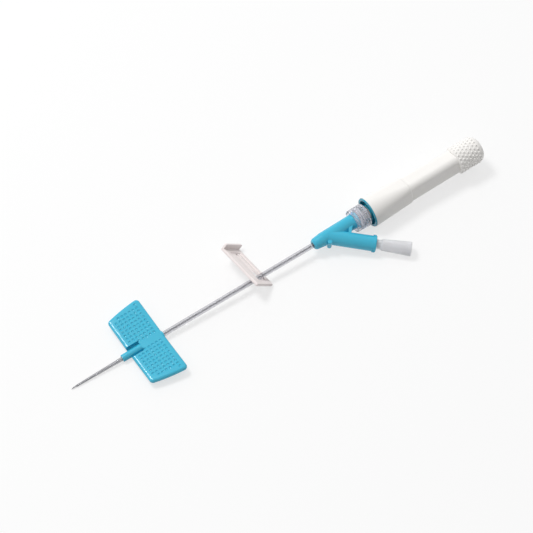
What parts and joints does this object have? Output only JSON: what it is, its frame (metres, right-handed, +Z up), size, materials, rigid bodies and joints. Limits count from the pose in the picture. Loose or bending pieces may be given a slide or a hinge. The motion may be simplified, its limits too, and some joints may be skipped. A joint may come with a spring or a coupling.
{
  "type": "iv cannula",
  "caption": "Closed catheter set with needle: soft catheter, winged hub, clear tube with slide clamp, forked adapter with vent plug and port, and a telescoping barrel that hides the needle.",
  "frame": {"origin": "on the table, under the middle of the set's bounding box, with the set lying as it comes to rest", "axes": "+X from the needle's tip to the closed end of the barrel, +Z up off the table, and the side arm of the adapter on the -Y side"},
  "size_m": [0.2134, 0.047, 0.0157],
  "materials": {
    "turquoise_plastic": "semi-gloss moulded plastic, finely pitted on the wings",
    "white_plastic": "satin moulded plastic",
    "clamp_plastic": "satin moulded plastic",
    "clear_plastic": "clear polished plastic",
    "tube_plastic": "clear soft plastic",
    "plug_plastic": "translucent milky plastic",
    "catheter_plastic": "translucent smooth plastic",
    "needle_steel": "polished steel",
    "septum_rubber": "smooth cream elastomer",
    "ring_plastic": "satin plastic",
    "filter_fibre": "porous white fibre",
    "sleeve_plastic": "translucent satin plastic"
  },
  "bodies": {
    "catheter": {"wing_hub": "turquoise_plastic", "catheter_tube": "catheter_plastic", "catheter_ferrule": "needle_steel", "extension_tube": "tube_plastic", "y_adapter": "turquoise_plastic"},
    "clamp": {"slide_clamp": "clamp_plastic"},
    "plug": {"vent_plug": "plug_plastic", "vent_filter": "filter_fibre"},
    "port": {"port_body": "clear_plastic", "port_septum": "septum_rubber", "septum_ring": "ring_plastic"},
    "inner": {"inner_sleeve": "sleeve_plastic", "tip_clip": "needle_steel"},
    "middle": {"middle_sleeve": "sleeve_plastic"},
    "outer": {"outer_sleeve": "turquoise_plastic"},
    "shield": {"shield_barrel": "white_plastic", "needle_holder": "white_plastic", "introducer_needle": "needle_steel"}
  },
  "joints": [
    {"name": "clamp_pinch", "type": "slide", "parent": "catheter", "child": "clamp", "axis": [0.0941, -0.9956, 0], "range_m": [0, 0.0148], "deforming": ["extension_tube"]},
    {"name": "plug_pull", "type": "slide", "parent": "catheter", "child": "plug", "axis": [0.7531, -0.6529, -0.0806], "range_m": [0, 0.012]},
    {"name": "port_turn", "type": "hinge", "parent": "catheter", "child": "port", "pos_m": [0.04018, 0.00309, 0.00688], "axis": [-0.9991, 0, -0.0431], "range_deg": [0, 540]},
    {"name": "shield_pull_off", "type": "slide", "parent": "port", "child": "inner", "axis": [0.9991, 0, 0.0431], "range_m": [0, 0.012]},
    {"name": "middle_slide", "type": "slide", "parent": "inner", "child": "middle", "axis": [0.9991, 0, 0.0431], "range_m": [0, 0.0539]},
    {"name": "outer_slide", "type": "slide", "parent": "middle", "child": "outer", "axis": [0.9991, 0, 0.0431], "range_m": [0, 0.0542]},
    {"name": "barrel_slide", "type": "slide", "parent": "outer", "child": "shield", "axis": [0.9991, 0, 0.0431], "range_m": [0, 0.0536]}
  ]
}
